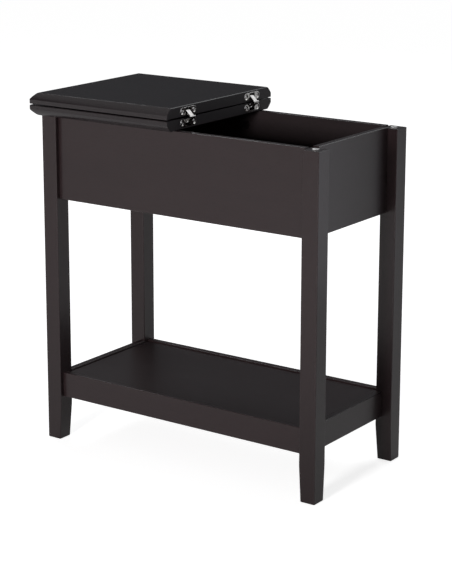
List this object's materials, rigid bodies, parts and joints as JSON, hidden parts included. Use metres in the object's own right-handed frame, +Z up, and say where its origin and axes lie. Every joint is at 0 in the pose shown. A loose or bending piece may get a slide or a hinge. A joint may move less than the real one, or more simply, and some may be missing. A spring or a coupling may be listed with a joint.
{
  "type": "lift-top end table",
  "caption": "Narrow end table with a storage compartment under a hinged top leaf that folds back over the fixed leaf, and a railed lower shelf between square tapered legs.",
  "frame": {"origin": "on the floor, in the middle of the space that the table covers with its leaf folded back", "axes": "+X along the table towards its open end, +Y towards the rear long side, +Z up"},
  "size_m": [0.585, 0.306, 0.6297],
  "materials": {
    "espresso_wood": "dark espresso stain under satin lacquer",
    "beech": "bare beech",
    "zinc": "zinc die casting",
    "bolt_steel": "zinc-plated",
    "screw_steel": "nickel-plated",
    "hinge_nickel": "nickel-plated",
    "clear_pad": "clear soft pad",
    "dark_cap": "moulded cover cap"
  },
  "bodies": {
    "frame": {"compartment_cam_caps": "dark_cap", "compartment_floor": "espresso_wood", "fixed_leaf": "espresso_wood", "fixed_plate_screws": "screw_steel", "floor_cam_bolts": "bolt_steel", "floor_cam_locks": "zinc", "floor_dowels": "beech", "front_hinge_fixed_plate": "hinge_nickel", "front_left_leg": "espresso_wood", "front_panel": "espresso_wood", "front_right_leg": "espresso_wood", "left_end_panel": "espresso_wood", "panel_cam_bolts": "bolt_steel", "panel_cam_locks": "zinc", "panel_dowels": "beech", "post_bumpers": "clear_pad", "rail_cam_bolts": "bolt_steel", "rail_cam_locks": "zinc", "rail_dowels": "beech", "rear_hinge_fixed_plate": "hinge_nickel", "rear_left_leg": "espresso_wood", "rear_panel": "espresso_wood", "rear_right_leg": "espresso_wood", "right_end_panel": "espresso_wood", "shelf_cam_bolts": "bolt_steel", "shelf_cam_locks": "zinc", "shelf_dowels": "beech", "shelf_front_rail": "espresso_wood", "shelf_left_rail": "espresso_wood", "shelf_panel": "espresso_wood", "shelf_rear_rail": "espresso_wood", "shelf_right_rail": "espresso_wood", "top_cam_bolts": "bolt_steel", "top_cam_locks": "zinc", "top_dowels": "beech"},
    "flip_leaf": {"flip_leaf": "espresso_wood", "flip_plate_screws": "screw_steel", "front_hinge_flip_plate": "hinge_nickel", "rear_hinge_flip_plate": "hinge_nickel"},
    "front_knuckle": {"front_hinge_knuckle_pin": "hinge_nickel"},
    "front_fixed_arm": {"front_hinge_fixed_arm": "hinge_nickel"},
    "front_flip_arm": {"front_hinge_flip_arm": "hinge_nickel"},
    "rear_knuckle": {"rear_hinge_knuckle_pin": "hinge_nickel"},
    "rear_fixed_arm": {"rear_hinge_fixed_arm": "hinge_nickel"},
    "rear_flip_arm": {"rear_hinge_flip_arm": "hinge_nickel"}
  },
  "joints": [
    {"name": "top_fold", "type": "hinge", "parent": "frame", "child": "flip_leaf", "pos_m": [0.0075, 0, 0.61], "axis": [0, 1, 0], "range_deg": [0, 180]},
    {"name": "front_knuckle_turn", "type": "hinge", "parent": "frame", "child": "front_knuckle", "pos_m": [0.0075, -0.094, 0.61], "axis": [0, 1, 0], "range_deg": [0, 90]},
    {"name": "front_fixed_arm_turn", "type": "hinge", "parent": "front_knuckle", "child": "front_fixed_arm", "pos_m": [0.0147, -0.094, 0.61], "axis": [0, 1, 0], "range_deg": [-45, 0]},
    {"name": "front_flip_arm_turn", "type": "hinge", "parent": "front_knuckle", "child": "front_flip_arm", "pos_m": [0.0147, -0.094, 0.61], "axis": [0, 1, 0], "range_deg": [0, 45]},
    {"name": "rear_knuckle_turn", "type": "hinge", "parent": "frame", "child": "rear_knuckle", "pos_m": [0.0075, 0.094, 0.61], "axis": [0, 1, 0], "range_deg": [0, 90]},
    {"name": "rear_fixed_arm_turn", "type": "hinge", "parent": "rear_knuckle", "child": "rear_fixed_arm", "pos_m": [0.0147, 0.094, 0.61], "axis": [0, 1, 0], "range_deg": [-45, 0]},
    {"name": "rear_flip_arm_turn", "type": "hinge", "parent": "rear_knuckle", "child": "rear_flip_arm", "pos_m": [0.0147, 0.094, 0.61], "axis": [0, 1, 0], "range_deg": [0, 45]}
  ],
  "couplings": [
    {"joint": "front_knuckle_turn", "follows": "top_fold", "ratio": 0.5},
    {"joint": "front_fixed_arm_turn", "follows": "top_fold", "ratio": -0.25},
    {"joint": "front_flip_arm_turn", "follows": "top_fold", "ratio": 0.25},
    {"joint": "rear_knuckle_turn", "follows": "top_fold", "ratio": 0.5},
    {"joint": "rear_fixed_arm_turn", "follows": "top_fold", "ratio": -0.25},
    {"joint": "rear_flip_arm_turn", "follows": "top_fold", "ratio": 0.25}
  ]
}
